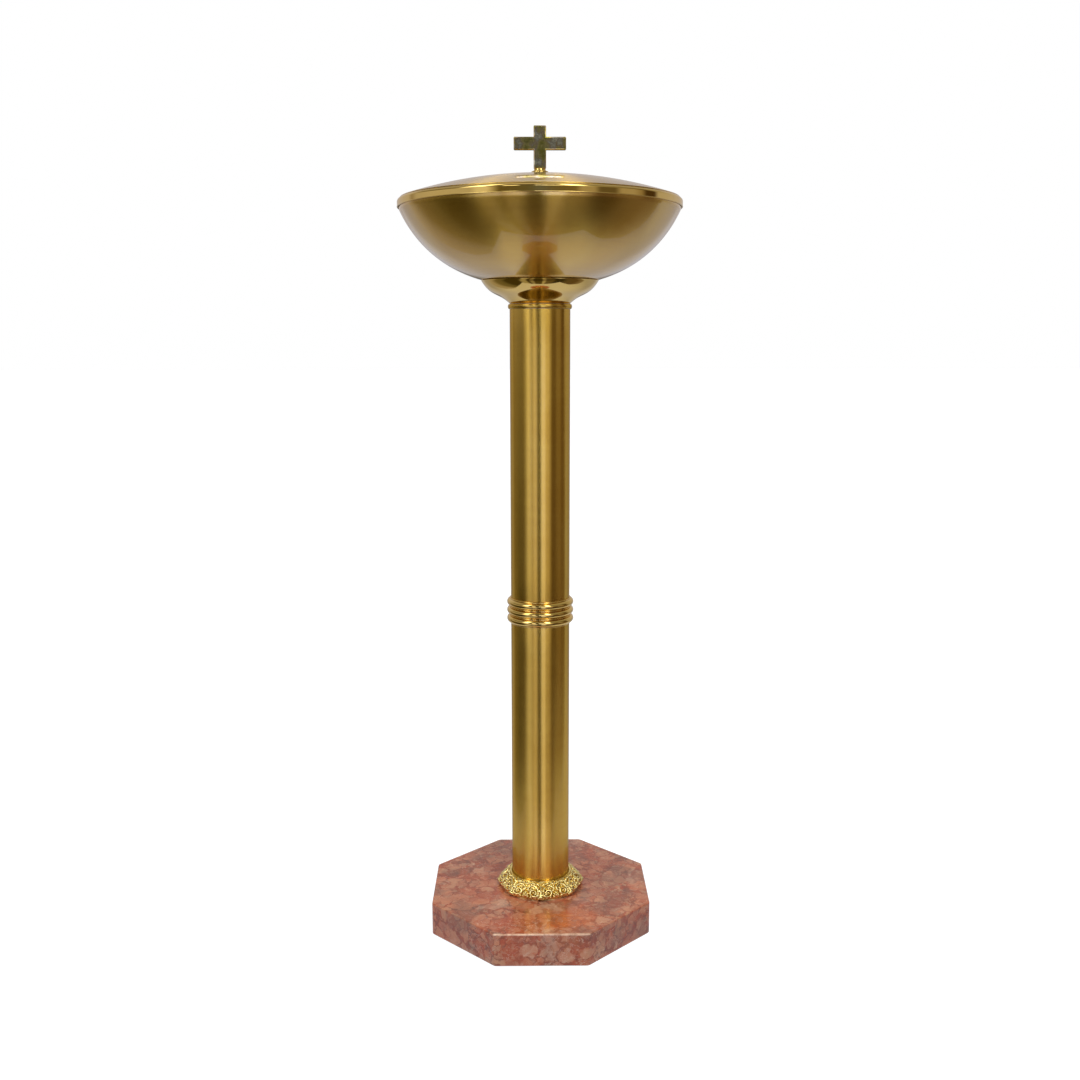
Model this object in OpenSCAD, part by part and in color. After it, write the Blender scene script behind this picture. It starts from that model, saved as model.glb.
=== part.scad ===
// Baptismal font: an octagonal marble foot, a two-part tube column with a ringed knop, a spun
// bowl with a lift-out basin, and a domed lid with a cross. One tie rod up the middle clamps
// the column between the marble and the bowl.
// Millimetres, +Z up, +Y to the back. The origin is on the floor, on the column's axis.

/* [Marble base] */
// Distance across the flats of the octagonal marble slab
base_across = 300; // [260:5:400]
// Thickness of the marble slab
base_t = 45; // [35:1:70]
// Bevel along the slab's top and bottom edges
base_bevel = 1.6; // [0.5:0.1:4]
// Diameter of the recess under the slab for the rod's nut
recess_d = 60; // [52:1:80]
// Depth of that recess
recess_t = 22; // [20:1:28]
// Number of rubber pads under the slab
pad_count = 4; // [3:1:8]
// Diameter of a rubber pad
pad_d = 26; // [15:1:35]
// Thickness of a rubber pad
pad_t = 2; // [1:0.5:6]

/* [Foot collar] */
// Distance from the axis to a corner of the octagonal collar
collar_corner_r = 64; // [58:1:75]
// Height of the collar
collar_h = 22; // [18:1:35]
// Radius of the knob on each corner of the collar
collar_knob_r = 3; // [1:0.5:4]

/* [Column] */
// Outside diameter of both tubes
tube_d = 80; // [70:1:90]
// Wall of both tubes
tube_wall = 1.5; // [1:0.1:2.5]
// Length of the lower tube, from the marble to the knop
lower_tube_len = 383; // [300:1:500]
// Length of the upper tube, from the knop to the neck
upper_tube_len = 386.5; // [300:0.5:500]
// Thickness of the disc that centres the lower tube on the rod
centring_t = 10; // [6:1:16]
// Diameter of the tie rod
rod_d = 12; // [10:1:14]

/* [Knop] */
// Height of the knop
knop_h = 35.5; // [33:0.5:45]
// Outside radius of the knop's rings
knop_r = 45.4; // [44:0.2:50]
// Number of rings round the knop
knop_rings = 3; // [1:1:3]
// Distance between the middles of two rings
knop_pitch = 11.5; // [11:0.1:12]
// How far the joining sleeve reaches into each tube
sleeve_reach = 30; // [15:1:60]

/* [Neck and bracket] */
// Height of the neck, from the upper tube to the bracket
neck_h = 6.5; // [5:0.5:10]
// How far the neck's bead stands out from the tube
neck_proud = 2.2; // [1:0.1:4]
// Radius of the bracket's rim, under the bowl
bracket_r = 77; // [72:1:85]
// Height of the bracket
bracket_h = 30.2; // [29:0.1:30.5]
// Wall of the bracket
bracket_wall = 2; // [1.5:0.1:2.5]

/* [Bowl] */
// Half width that the bowl's curve would reach at its widest
bowl_a = 201; // [201:1:205]
// Height from the bowl's lowest point to that widest level
bowl_b = 202.2; // [200:0.2:204]
// Power of the bowl's curve, where 2 is an ellipse and more is fuller
bowl_power = 2.4; // [2.38:0.01:2.45]
// Height of the bowl, from its lowest point to its rim
bowl_h = 102.7; // [101:0.1:104]
// Wall of the bowl
bowl_wall = 1.5; // [1:0.1:2]
// Height from the bracket's underside to the lowest point of the bowl's curve
bowl_lift = 22.2; // [22:0.1:24]
// Upright edge at the top of the bowl
bowl_edge_h = 6.4; // [5:0.1:8]
// Radius of the flat in the middle of the bowl
bowl_flat_r = 45; // [40:1:55]

/* [Basin] */
// Depth of the lift-out basin, from its flange to its floor
basin_depth = 75; // [50:1:76]
// Radius of the basin's mouth
basin_r = 172; // [160:1:173]
// Power of the basin's curve
basin_power = 2.4; // [2:0.1:2.5]
// Radius of the basin's flat floor
basin_flat_r = 50; // [30:1:70]
// Sheet that the basin is spun from
basin_wall = 1.2; // [0.8:0.1:1.5]

/* [Lid] */
// Radius of the lid's polished rim
lid_r = 184.7; // [184.5:0.1:187]
// Height of the rim's skirt below its ledge
skirt_h = 5.4; // [3:0.1:6]
// Height of the rim above the underside of its ledge
rim_rise = 4.8; // [4.5:0.1:7]
// Radius of the round on the rim's top edge
rim_round = 3.5; // [2:0.1:4]
// Wall of the rim's skirt
skirt_wall = 1.8; // [1:0.1:1.8]
// Radius of the sphere that the dome is part of
dome_sphere_r = 574; // [450:1:900]
// Sheet that the dome is spun from
dome_wall = 1.2; // [0.8:0.1:2]

/* [Cross] */
// Span of the cross's arms
cross_span = 67.6; // [50:0.2:90]
// Height of the cross above its foot
cross_h = 53.5; // [45:0.5:80]
// Width of the stem and of the arms
cross_bar = 16.2; // [12:0.2:20]
// Thickness of the cross from front to back
cross_t = 8; // [7:0.5:12]
// Distance from the top of the cross down to its arms
cross_head = 14; // [10:0.5:20]
// Radius of the foot that the cross stands on
foot_r = 11; // [10:0.5:16]
// Height of that foot
foot_h = 9; // [6:0.5:15]

/* [Hidden] */
$fn = 96;
curve_steps = 24;

// Clearances: a round piece inside its hole, a hole round the rod, a thread, and the air
// gap between the pieces that lift off and what they rest on.
fit_gap = 0.2;
pass_gap = 0.5;
thread_gap = 0.05;
lift_gap = 0.3;

tube_r = tube_d / 2;
bore_r = tube_r - tube_wall;
rod_r = rod_d / 2;
rod_hole_r = rod_r + pass_gap;

// Fasteners, in proportion to the rod and to the stud in the cross
nut_across = 1.58 * rod_d;
nut_t = 0.85 * rod_d;
washer_r = 2 * rod_d;
washer_t = 3;
rod_tail = 3;
stud_r = 2.5;
stud_nut_across = 8;
stud_nut_t = 5;
stud_washer_r = 8;
stud_washer_t = 1.2;
stud_bite = 12;

// Levels up the column
slab_z = pad_t;
slab_top = slab_z + base_t;
recess_top = slab_z + recess_t;
collar_lift = 1.5;
knop_z = slab_top + lower_tube_len;
upper_tube_z = knop_z + knop_h;
neck_z = upper_tube_z + upper_tube_len;
bracket_z = neck_z + neck_h;
bracket_top = bracket_z + bracket_h;

// The bowl's curve, its flat, and the pieces that hold it
bowl_mid_z = bracket_z + bowl_lift + bowl_b;
bowl_flat_z = bowl_mid_z - drop_at(bowl_a, bowl_b, bowl_power, bowl_flat_r);
bowl_top = bracket_z + bowl_lift + bowl_h;
bowl_edge_z = bowl_top - bowl_edge_h;
bowl_edge_r = radius_at(bowl_a, bowl_b, bowl_power, bowl_mid_z - bowl_edge_z);
gasket_t = 1.5;
seal_r = 20;
seat_z = bracket_z + bracket_wall;
seat_h = bowl_flat_z - gasket_t - seat_z;
seal_z = bowl_flat_z + bowl_wall;
bowl_washer_z = seal_z + gasket_t;
bowl_washer_t = 2;
bowl_nut_z = bowl_washer_z + bowl_washer_t;
rod_z = recess_top - washer_t - nut_t - rod_tail;
rod_top = bowl_nut_z + nut_t;
rod_len = rod_top - rod_z;

// The basin hangs from its flange, and the lid rests on that flange
flange_z = bowl_top + lift_gap;
flange_r = bowl_edge_r - fit_gap;
ledge_z = flange_z + basin_wall + lift_gap;
ledge_r = 176;
rim_top = ledge_z + rim_rise;
dome_edge_r = lid_r - rim_round;
dome_inner_r = dome_sphere_r - dome_wall;
dome_centre_z = rim_top + fit_gap / 2 - sqrt(pow(dome_inner_r, 2) - pow(dome_edge_r, 2));
dome_apex = dome_centre_z + dome_sphere_r;
cross_z = dome_apex + foot_h;
stud_washer_z = dome_apex - dome_wall - fit_gap / 2 - stud_washer_t;
stud_nut_z = stud_washer_z - stud_nut_t;

// Radius of a superellipse at a distance below its widest level, and the reverse.
function radius_at(a, b, power, drop) = a * pow(1 - pow(drop / b, power), 1 / power);
function drop_at(a, b, power, r) = b * pow(1 - pow(r / a, power), 1 / power);

// Points [r, z] down a superellipse from one radius to a smaller one, evenly by angle.
function superellipse(a, b, power, mid_z, from_r, to_r) =
    let (from = acos(pow(from_r / a, power / 2)), to = acos(pow(to_r / a, power / 2)))
    [for (i = [0:curve_steps])
        let (t = from + (to - from) * i / curve_steps)
        [a * pow(cos(t), 2 / power), mid_z - b * pow(sin(t), 2 / power)]];

// Point and direction of a cubic curve through four control points.
function curve_at(p, t) =
    pow(1 - t, 3) * p[0] + 3 * pow(1 - t, 2) * t * p[1]
    + 3 * (1 - t) * t * t * p[2] + pow(t, 3) * p[3];
function curve_dir(p, t) =
    let (d = pow(1 - t, 2) * (p[1] - p[0]) + 2 * (1 - t) * t * (p[2] - p[1])
        + t * t * (p[3] - p[2]))
    d / norm(d);

function reversed(list) = [for (i = [len(list) - 1:-1:0]) list[i]];

function arc(centre, r, from, to, steps) =
    [for (i = [0:steps])
        let (t = from + (to - from) * i / steps)
        centre + r * [cos(t), sin(t)]];

module lathe(outline) {
    rotate_extrude() polygon(outline);
}

module washer(r, hole_r, t) {
    difference() {
        cylinder(r = r, h = t);
        translate([0, 0, -1]) cylinder(r = hole_r, h = t + 2);
    }
}

module hex_bar(across, h) {
    cylinder(r = across / sqrt(3), h = h, $fn = 6);
}

module hex_nut(across, h, hole_r) {
    difference() {
        hex_bar(across, h);
        translate([0, 0, -1]) cylinder(r = hole_r, h = h + 2);
    }
}

// A nut with a closed round top.
module cap_nut(across, h, hole_r) {
    difference() {
        union() {
            hex_bar(across, h);
            intersection() {
                translate([0, 0, h]) sphere(r = across * 0.46);
                cylinder(r = across, h = 3 * h);
            }
        }
        translate([0, 0, -1]) cylinder(r = hole_r, h = h + 2);
    }
}

// An octagonal slab with bevelled edges and flats facing the four sides: four long bars
// of bevelled section, crossed every 45 degrees.
module bevelled_octagon(across, h, bevel) {
    half = across / 2;
    intersection_for(turn = [0:45:135])
        rotate([90, 0, turn])
            translate([0, 0, -across])
                linear_extrude(height = 2 * across)
                    polygon([
                        [-half, bevel], [bevel - half, 0], [half - bevel, 0], [half, bevel],
                        [half, h - bevel], [half - bevel, h], [bevel - half, h],
                        [-half, h - bevel]
                    ]);
}

module marble_base() {
    color("rosybrown")
        difference() {
            translate([0, 0, slab_z]) bevelled_octagon(base_across, base_t, base_bevel);
            cylinder(r = rod_hole_r, h = slab_top + 1);
            cylinder(d = recess_d, h = recess_top);
        }
}

module base_pads() {
    pad_circle_r = base_across / 2 - pad_d;
    color("dimgray")
        for (i = [0:pad_count - 1])
            rotate([0, 0, 45 + 360 * i / pad_count])
                translate([pad_circle_r, 0, 0]) cylinder(d = pad_d, h = pad_t);
}

module base_washer() {
    color("silver")
        translate([0, 0, recess_top - washer_t]) washer(washer_r, rod_hole_r, washer_t);
}

module base_nut() {
    color("silver")
        translate([0, 0, recess_top - washer_t - nut_t])
            hex_nut(nut_across, nut_t, rod_r + thread_gap);
}

module tie_rod() {
    color("gray") translate([0, 0, rod_z]) cylinder(r = rod_r, h = rod_len);
}

// The octagonal casting round the foot of the column: corners to the front and the sides,
// a sloping top, and a lower edge that stands a little above the marble.
module foot_collar() {
    inner_r = tube_r + fit_gap;
    standing_r = collar_corner_r - 9;
    edge_t = 4;
    lip = 3;
    color("gold")
        translate([0, 0, slab_top]) {
            intersection() {
                lathe([
                    [inner_r, 0], [standing_r, 0], [standing_r, collar_lift],
                    [collar_corner_r, collar_lift], [collar_corner_r, collar_lift + edge_t],
                    [inner_r + lip, collar_h], [inner_r, collar_h]
                ]);
                cylinder(r = collar_corner_r, h = collar_h, $fn = 8);
            }
            for (turn = [0:45:315])
                rotate([0, 0, turn])
                    translate([collar_corner_r - collar_knob_r, 0, collar_lift + collar_knob_r])
                        sphere(r = collar_knob_r);
        }
}

module lower_centring_disc() {
    color("silver")
        translate([0, 0, slab_top]) washer(bore_r - fit_gap, rod_hole_r, centring_t);
}

module column_tube(len) {
    washer(tube_r, bore_r, len);
}

module lower_tube() {
    color("darkgoldenrod") translate([0, 0, slab_top]) column_tube(lower_tube_len);
}

module upper_tube() {
    color("darkgoldenrod") translate([0, 0, upper_tube_z]) column_tube(upper_tube_len);
}

// A plain sleeve inside both tubes and the knop, which keeps them in line.
module knop_sleeve() {
    sleeve_wall = 2.5;
    outer_r = bore_r - fit_gap;
    color("silver")
        translate([0, 0, knop_z - sleeve_reach])
            washer(outer_r, outer_r - sleeve_wall, knop_h + 2 * sleeve_reach);
}

// A cast ring between the tubes: three round rings on a narrower core, with a lip at each end.
module knop() {
    ring_r = knop_pitch * 0.47;
    core_r = knop_r - 2.1;
    lip_r = tube_r + 1.5;
    ring_span = (knop_rings - 1) * knop_pitch;
    color("gold")
        translate([0, 0, knop_z + knop_h / 2])
            difference() {
                union() {
                    cylinder(r = lip_r, h = knop_h, center = true);
                    cylinder(r = core_r, h = ring_span + ring_r, center = true);
                    for (i = [0:knop_rings - 1])
                        translate([0, 0, i * knop_pitch - ring_span / 2])
                            rotate_extrude() translate([knop_r - ring_r, 0]) circle(r = ring_r);
                }
                cylinder(r = bore_r, h = knop_h + 2, center = true);
            }
}

// The disc that closes the upper tube: a spigot inside the tube and a flange on its end.
module upper_centring_disc() {
    spigot_t = 12;
    color("silver")
        difference() {
            union() {
                translate([0, 0, neck_z]) cylinder(r = tube_r, h = neck_h);
                translate([0, 0, neck_z - spigot_t])
                    cylinder(r = bore_r - fit_gap, h = spigot_t);
            }
            translate([0, 0, neck_z - spigot_t - 1])
                cylinder(r = rod_hole_r, h = spigot_t + neck_h + 2);
        }
}

// A half-round bead round that flange.
module neck_ring() {
    half_t = neck_h / 2 - fit_gap;
    inner_r = tube_r + thread_gap;
    crown = neck_proud - 0.8;
    color("gold")
        translate([0, 0, neck_z + neck_h / 2])
            lathe(concat(
                [[inner_r, -half_t], [tube_r + neck_proud - crown, -half_t]],
                [for (t = [-75:15:75])
                    [tube_r + neck_proud - crown + crown * cos(t), half_t * sin(t)]],
                [[tube_r + neck_proud - crown, half_t], [inner_r, half_t]]
            ));
}

// A spun ogee cup that spreads from the neck to the underside of the bowl.
module bracket_cup() {
    low = [tube_r - 0.7, bracket_z];
    high = [bracket_r, bracket_top];
    shape = [low, low + [14.2, 14.8], high - [12.3, 21.3], high];
    outer = [for (i = [0:curve_steps]) curve_at(shape, i / curve_steps)];
    inner = [for (i = [0:curve_steps])
        let (t = i / curve_steps, d = curve_dir(shape, t),
            p = curve_at(shape, t) + bracket_wall * [-d[1], d[0]])
        [p[0], min(p[1], bracket_top)]];
    color("gold")
        lathe(concat(
            [[rod_hole_r, bracket_z]], outer, reversed(inner),
            [[inner[0][0] - bracket_wall, seat_z], [rod_hole_r, seat_z]]
        ));
}

// A turned spool inside the bracket that carries the bowl.
module bowl_seat() {
    stem_r = 22;
    foot_t = 4;
    foot_seat_r = 34;
    head_r = 40;
    color("silver")
        translate([0, 0, seat_z])
            difference() {
                union() {
                    cylinder(r = stem_r, h = seat_h);
                    cylinder(r = foot_seat_r, h = foot_t);
                    translate([0, 0, seat_h - foot_t]) cylinder(r = head_r, h = foot_t);
                }
                translate([0, 0, -1]) cylinder(r = rod_hole_r, h = seat_h + 2);
            }
}

module bowl_gasket() {
    gasket_r = 40;
    color("black")
        translate([0, 0, bowl_flat_z - gasket_t]) washer(gasket_r, rod_hole_r, gasket_t);
}

module bowl() {
    outer = superellipse(bowl_a, bowl_b, bowl_power, bowl_mid_z, bowl_edge_r, bowl_flat_r);
    inner_a = bowl_a - bowl_wall;
    inner_b = bowl_b - bowl_wall;
    inner_edge_r = radius_at(inner_a, inner_b, bowl_power, bowl_mid_z - bowl_edge_z);
    inner_flat_r = radius_at(inner_a, inner_b, bowl_power, bowl_mid_z - seal_z);
    inner = superellipse(inner_a, inner_b, bowl_power, bowl_mid_z, inner_edge_r, inner_flat_r);
    color("goldenrod")
        lathe(concat(
            [[bowl_edge_r, bowl_top]], outer, [[rod_hole_r, bowl_flat_z], [rod_hole_r, seal_z]],
            reversed(inner), [[inner_edge_r, bowl_top]]
        ));
}

module bowl_seal() {
    color("black") translate([0, 0, seal_z]) washer(seal_r, rod_hole_r, gasket_t);
}

module bowl_washer() {
    color("silver")
        translate([0, 0, bowl_washer_z]) washer(seal_r, rod_hole_r, bowl_washer_t);
}

module bowl_nut() {
    color("silver")
        translate([0, 0, bowl_nut_z]) cap_nut(nut_across, nut_t, rod_r + thread_gap);
}

// The spun basin that holds the water: it hangs in the bowl by its flat flange.
module inner_basin() {
    mouth_z = flange_z + basin_wall;
    outer = superellipse(basin_r, basin_depth, basin_power, mouth_z, basin_r, basin_flat_r);
    inner_a = basin_r - basin_wall;
    inner_b = basin_depth - basin_wall;
    inner = superellipse(inner_a, inner_b, basin_power, mouth_z, inner_a, basin_flat_r);
    color("lightgray")
        lathe(concat(
            [[flange_r, mouth_z], [flange_r, flange_z], [basin_r, flange_z]],
            [for (p = outer) if (p[1] < flange_z - fit_gap) p],
            [[0, outer[curve_steps][1]], [0, inner[curve_steps][1]]],
            reversed(inner)
        ));
}

// The polished ring round the lid: a skirt outside the bowl's edge, and a ledge that rests
// on the basin's flange.
module lid_rim() {
    skirt_r = lid_r - skirt_wall;
    color("gold")
        lathe(concat(
            [[skirt_r, ledge_z - skirt_h], [lid_r, ledge_z - skirt_h]],
            arc([dome_edge_r, rim_top - rim_round], rim_round, 0, 90, 8),
            [[ledge_r, rim_top], [ledge_r, ledge_z], [skirt_r, ledge_z]]
        ));
}

module lid_dome() {
    color("goldenrod")
        difference() {
            intersection() {
                translate([0, 0, dome_centre_z]) sphere(r = dome_sphere_r);
                translate([0, 0, rim_top]) cylinder(r = dome_edge_r, h = dome_sphere_r);
            }
            translate([0, 0, dome_centre_z]) sphere(r = dome_inner_r);
            cylinder(r = stud_r + fit_gap, h = dome_apex + 1);
        }
}

// A turned foot that sweeps in, on one hollow arc, from its edge to the stem.
module cross_foot() {
    edge_t = 1.2;
    top_r = cross_bar / 2 - 0.6;
    run = foot_r - top_r;
    rise = foot_h - edge_t;
    sweep_r = (run * run + rise * rise) / (2 * run);
    color("gold")
        translate([0, 0, dome_apex])
            difference() {
                lathe(concat(
                    [[0, 0], [foot_r, 0]],
                    arc([top_r + sweep_r, foot_h], sweep_r, 180 + asin(rise / sweep_r), 180, 8),
                    [[0, foot_h]]
                ));
                translate([0, 0, -1]) cylinder(r = stud_r + fit_gap, h = foot_h + 2);
            }
}

module cross() {
    color("gold")
        translate([0, 0, cross_z])
            difference() {
                union() {
                    translate([-cross_bar / 2, -cross_t / 2, 0])
                        cube([cross_bar, cross_t, cross_h]);
                    translate([-cross_span / 2, -cross_t / 2, cross_h - cross_head - cross_bar])
                        cube([cross_span, cross_t, cross_bar]);
                }
                translate([0, 0, -1]) cylinder(r = stud_r + thread_gap, h = stud_bite + 1);
            }
}

module cross_stud() {
    color("gray")
        translate([0, 0, stud_nut_z])
            cylinder(r = stud_r, h = cross_z + stud_bite - fit_gap - stud_nut_z);
}

module cross_washer() {
    color("silver")
        translate([0, 0, stud_washer_z])
            washer(stud_washer_r, stud_r + fit_gap, stud_washer_t);
}

module cross_nut() {
    color("silver")
        translate([0, 0, stud_washer_z])
            mirror([0, 0, 1])
                cap_nut(stud_nut_across, stud_nut_t, stud_r + thread_gap);
}

marble_base();
base_pads();
base_washer();
base_nut();
tie_rod();
foot_collar();
lower_centring_disc();
lower_tube();
knop_sleeve();
knop();
upper_tube();
upper_centring_disc();
neck_ring();
bracket_cup();
bowl_seat();
bowl_gasket();
bowl();
bowl_seal();
bowl_washer();
bowl_nut();
inner_basin();
lid_rim();
lid_dome();
cross_foot();
cross();
cross_stud();
cross_washer();
cross_nut();
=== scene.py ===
import math

import bmesh
import bpy
import numpy as np
from mathutils import Euler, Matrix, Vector


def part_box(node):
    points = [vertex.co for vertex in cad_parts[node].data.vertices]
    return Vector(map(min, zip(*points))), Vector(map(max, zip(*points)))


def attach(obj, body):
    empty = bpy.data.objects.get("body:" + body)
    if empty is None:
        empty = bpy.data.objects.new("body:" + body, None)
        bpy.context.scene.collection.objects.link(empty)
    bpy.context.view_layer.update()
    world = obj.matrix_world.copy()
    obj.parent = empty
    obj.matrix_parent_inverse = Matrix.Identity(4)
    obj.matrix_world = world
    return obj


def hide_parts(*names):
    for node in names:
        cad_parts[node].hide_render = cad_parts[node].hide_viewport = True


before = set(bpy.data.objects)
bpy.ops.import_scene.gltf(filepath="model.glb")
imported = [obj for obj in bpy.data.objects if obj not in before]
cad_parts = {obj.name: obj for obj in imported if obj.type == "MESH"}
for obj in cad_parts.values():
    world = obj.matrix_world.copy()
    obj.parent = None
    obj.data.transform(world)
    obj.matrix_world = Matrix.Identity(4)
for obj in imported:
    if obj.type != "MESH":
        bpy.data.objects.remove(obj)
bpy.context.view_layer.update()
SCENE = bpy.context.scene

MM = 0.001
SEGMENTS = 256  # round a turned piece
SHARP = 38      # degrees: an edge more bent than this stays sharp


def lin(r, g, b):
    """An sRGB colour of 0 to 255 as linear RGBA."""
    def one(c):
        c /= 255
        return c / 12.92 if c <= 0.04045 else ((c + 0.055) / 1.055) ** 2.4
    return one(r), one(g), one(b), 1.0


def low(node):
    """A node's lowest point, in mm."""
    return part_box(node)[0].z / MM


def high(node):
    """A node's highest point, in mm."""
    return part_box(node)[1].z / MM


def reach(node):
    """How far a node reaches from the axis, in mm."""
    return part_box(node)[1].x / MM


def link(name, data):
    """A new object in the scene."""
    obj = bpy.data.objects.new(name, data)
    SCENE.collection.objects.link(obj)
    return obj


# ---------------------------------------------------------------- camera

LOOKS_DOWN, ROLL, LOOKS_RIGHT = 9.609, 0.05, 0.572

camera = link("camera", bpy.data.cameras.new("camera"))
camera.data.sensor_width = 36
camera.data.lens = 39.6
camera.data.clip_start = 0.01
camera.location = (-0.0159, -1.5927, 0.8133)
camera.rotation_euler = Euler(
    (math.radians(90 - LOOKS_DOWN), math.radians(ROLL), math.radians(-LOOKS_RIGHT)))
SCENE.camera = camera

# ---------------------------------------------------------------- mesh helpers


def smooth(mesh, degrees=SHARP):
    """Smooth shading, except at edges more bent than some degrees."""
    mesh.polygons.foreach_set("use_smooth", [True] * len(mesh.polygons))
    mesh.set_sharp_from_angle(angle=math.radians(degrees))


def add(name, verts, faces, degrees=SHARP):
    """A mesh object from points in mm, with its faces turned outward."""
    mesh = bpy.data.meshes.new(name)
    mesh.from_pydata([tuple(c * MM for c in v) for v in verts], [], faces)
    bm = bmesh.new()
    bm.from_mesh(mesh)
    bmesh.ops.recalc_face_normals(bm, faces=bm.faces)
    bm.to_mesh(mesh)
    bm.free()
    smooth(mesh, degrees)
    return link(name, mesh)


def lathe(name, outline, segments=SEGMENTS, shape=None, degrees=SHARP):
    """The closed outline of (r, z) turned round the axis; a point at r = 0 is one vertex.
    shape(angle, point number) scales the radius."""
    verts, rows = [], []
    turns = [2 * math.pi * k / segments for k in range(segments)]
    for i, (r, z) in enumerate(outline):
        if r < 1e-9:
            rows.append([len(verts)] * segments)
            verts.append((0, 0, z))
            continue
        rows.append(list(range(len(verts), len(verts) + segments)))
        for t in turns:
            k = r * (shape(t, i) if shape else 1)
            verts.append((k * math.cos(t), k * math.sin(t), z))
    faces = []
    for row, above in zip(rows, rows[1:] + rows[:1]):
        for k in range(segments):
            m = (k + 1) % segments
            corners = list(dict.fromkeys([row[k], row[m], above[m], above[k]]))
            if len(corners) > 2:
                faces.append(corners)
    return add(name, verts, faces, degrees)


def arc(cr, cz, r, start, end, steps):
    """Points on a circle round (cr, cz), between two angles in degrees."""
    turns = [math.radians(start + (end - start) * k / steps) for k in range(steps + 1)]
    return [(cr + r * math.cos(t), cz + r * math.sin(t)) for t in turns]


def superellipse(a, b, power, mid_z, from_r, to_r):
    """The lower side of a superellipse of half widths a and b, between two radii."""
    steps = 64
    first = math.acos((from_r / a) ** (power / 2))
    last = math.acos((to_r / a) ** (power / 2))
    turns = [first + (last - first) * k / steps for k in range(steps + 1)]
    return [(a * math.cos(t) ** (2 / power), mid_z - b * math.sin(t) ** (2 / power))
            for t in turns]


def superellipse_width(a, b, power, along_b):
    """Its half width along a, at a distance along b from its middle."""
    return a * (1 - (along_b / b) ** power) ** (1 / power)


# ---------------------------------------------------------------- material helpers


class Nodes:
    """Short calls for building a node tree."""

    def __init__(self, tree):
        self.tree = tree

    def add(self, kind, **settings):
        node = self.tree.nodes.new(kind)
        for key, value in settings.items():
            setattr(node, key, value)
        return node

    def put(self, value, socket):
        """Links an output to a socket, or sets the socket's own value."""
        if isinstance(value, bpy.types.NodeSocket):
            self.tree.links.new(value, socket)
        else:
            socket.default_value = value

    def math(self, op, a, b=None):
        node = self.add("ShaderNodeMath", operation=op)
        self.put(a, node.inputs[0])
        if b is not None:
            self.put(b, node.inputs[1])
        return node.outputs[0]

    def plus(self, a, b):
        return self.math("ADD", a, b)

    def minus(self, a, b):
        return self.math("SUBTRACT", a, b)

    def times(self, a, b):
        return self.math("MULTIPLY", a, b)

    def away(self, value, middle):
        """How far a value is from a middle one, either way."""
        return self.math("ABSOLUTE", self.minus(value, middle))

    def vec(self, op, a, b=None, scale=None):
        node = self.add("ShaderNodeVectorMath", operation=op)
        self.put(a, node.inputs[0])
        if b is not None:
            self.put(b, node.inputs[1])
        if scale is not None:
            self.put(scale, node.inputs["Scale"])
        return node.outputs["Value" if op == "LENGTH" else "Vector"]

    def split(self, vector):
        node = self.add("ShaderNodeSeparateXYZ")
        self.put(vector, node.inputs[0])
        return node.outputs

    def join(self, x, y, z):
        node = self.add("ShaderNodeCombineXYZ")
        for value, socket in zip((x, y, z), node.inputs):
            self.put(value, socket)
        return node.outputs[0]

    def span(self, value, a, b, c=0.0, d=1.0, smooth=False):
        """The value's place from a to b, as a number from c to d."""
        node = self.add("ShaderNodeMapRange")
        node.interpolation_type = "SMOOTHSTEP" if smooth else "LINEAR"
        for v, name in ((value, "Value"), (a, "From Min"), (b, "From Max"), (c, "To Min"),
                        (d, "To Max")):
            self.put(v, node.inputs[name])
        return node.outputs["Result"]

    def mix(self, factor, a, b, blend="MIX"):
        """Two colours mixed: 6, 7 and 2 are the node's colour sockets."""
        node = self.add("ShaderNodeMix", data_type="RGBA", blend_type=blend)
        self.put(factor, node.inputs["Factor"])
        self.put(a, node.inputs[6])
        self.put(b, node.inputs[7])
        return node.outputs[2]

    def ramp(self, value, stops):
        """Colours along a value; the stops take their places before their colours."""
        node = self.add("ShaderNodeValToRGB")
        elements = node.color_ramp.elements
        while len(elements) < len(stops):
            elements.new(0.5)
        for element, (at, colour) in zip(elements, stops):
            element.position = at
        for element, (at, colour) in zip(elements, stops):
            element.color = colour
        self.put(value, node.inputs["Fac"])
        return node.outputs["Color"]

    def noise(self, vector, scale, detail=2.0, roughness=0.5, distortion=0.0, out="Fac"):
        node = self.add("ShaderNodeTexNoise")
        self.put(vector, node.inputs["Vector"])
        node.inputs["Scale"].default_value = scale
        node.inputs["Detail"].default_value = detail
        node.inputs["Roughness"].default_value = roughness
        node.inputs["Distortion"].default_value = distortion
        return node.outputs[out]

    def voronoi(self, vector, scale, feature="F1", out="Distance"):
        node = self.add("ShaderNodeTexVoronoi", feature=feature)
        self.put(vector, node.inputs["Vector"])
        node.inputs["Scale"].default_value = scale
        return node.outputs[out]

    def place(self):
        return self.add("ShaderNodeTexCoord").outputs["Object"]

    def bump(self, height, distance):
        node = self.add("ShaderNodeBump")
        node.inputs["Strength"].default_value = 1.0
        node.inputs["Distance"].default_value = distance
        self.put(height, node.inputs["Height"])
        return node.outputs["Normal"]


def material(name):
    """A new material: its nodes and its Principled shader."""
    mat = bpy.data.materials.new(name)
    mat.use_nodes = True
    return mat, Nodes(mat.node_tree), mat.node_tree.nodes["Principled BSDF"]


# ---------------------------------------------------------------- metals

RING_SCALE = 2600


def across_axis(n, sign):
    """A vector for noise that runs in fine rings round the axis and changes only slowly
    along them: sign is how the radius goes with the height along the surface (0 for an
    upright one)."""
    slow = 0.005
    x, y, z = n.split(n.place())
    run = z
    if sign:
        radius = n.vec("LENGTH", n.join(x, y, 0.0))
        run = n.plus(n.times(z, float(sign)), radius)
    return n.join(n.times(x, slow), n.times(y, slow), run)


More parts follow.
